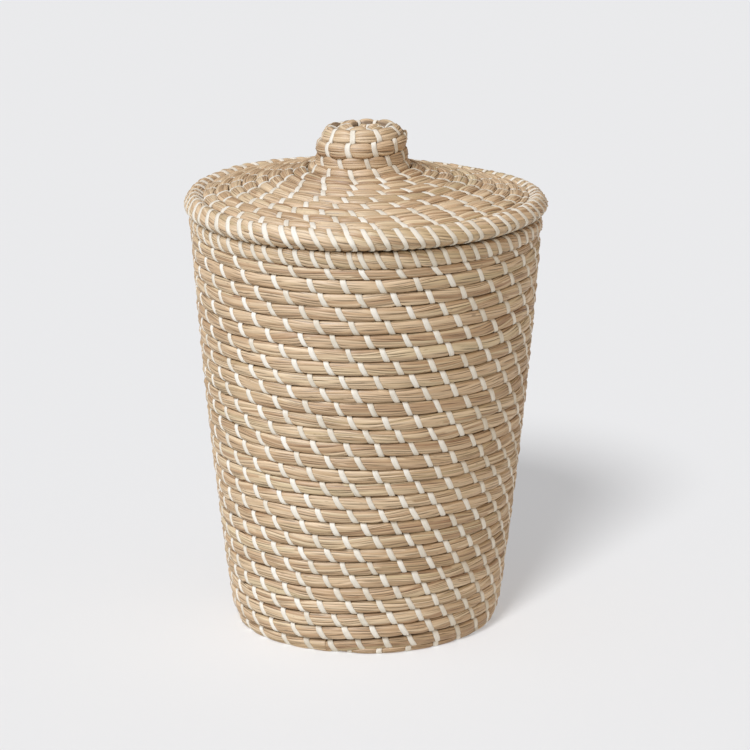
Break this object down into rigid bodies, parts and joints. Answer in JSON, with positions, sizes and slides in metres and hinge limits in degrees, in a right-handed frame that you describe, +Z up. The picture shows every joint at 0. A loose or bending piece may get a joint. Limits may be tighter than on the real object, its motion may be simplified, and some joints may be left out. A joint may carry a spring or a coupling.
{
  "type": "lidded wicker basket",
  "caption": "Tall round storage basket of coiled grass rope sewn with a flat white strap, with a lift-off lid and coiled knob.",
  "frame": {"origin": "centre of the circle on which the basket stands, on the ground", "axes": "+Z up along the basket's axis, towards the knob; +X right and +Y back as seen from the front"},
  "size_m": [0.2446, 0.2448, 0.3449],
  "materials": {
    "grass_coil": "dry matt grass blades, slightly waxy",
    "sewing_strap": "matt off-white flat strap"
  },
  "bodies": {
    "basket": {"floor_centre_coil": "grass_coil", "floor_coil": "grass_coil", "foot_coil": "grass_coil", "wall_coil": "grass_coil", "wall_coil_end": "grass_coil", "rim_coil": "grass_coil", "floor_stitches": "sewing_strap", "wall_stitches": "sewing_strap", "rim_stitches": "sewing_strap"},
    "lid": {"knob_top_coil": "grass_coil", "knob_side_coil": "grass_coil", "lid_coil": "grass_coil", "lid_edge_coil": "grass_coil", "seat_ring_coil": "grass_coil", "knob_top_stitches": "sewing_strap", "knob_side_stitches": "sewing_strap", "lid_stitches": "sewing_strap", "lid_edge_stitches": "sewing_strap", "seat_ring_stitches": "sewing_strap"}
  },
  "joints": [
    {"name": "lid_lift", "type": "slide", "parent": "basket", "child": "lid", "axis": [0, 0, 1], "range_m": [0, 0.12]}
  ]
}
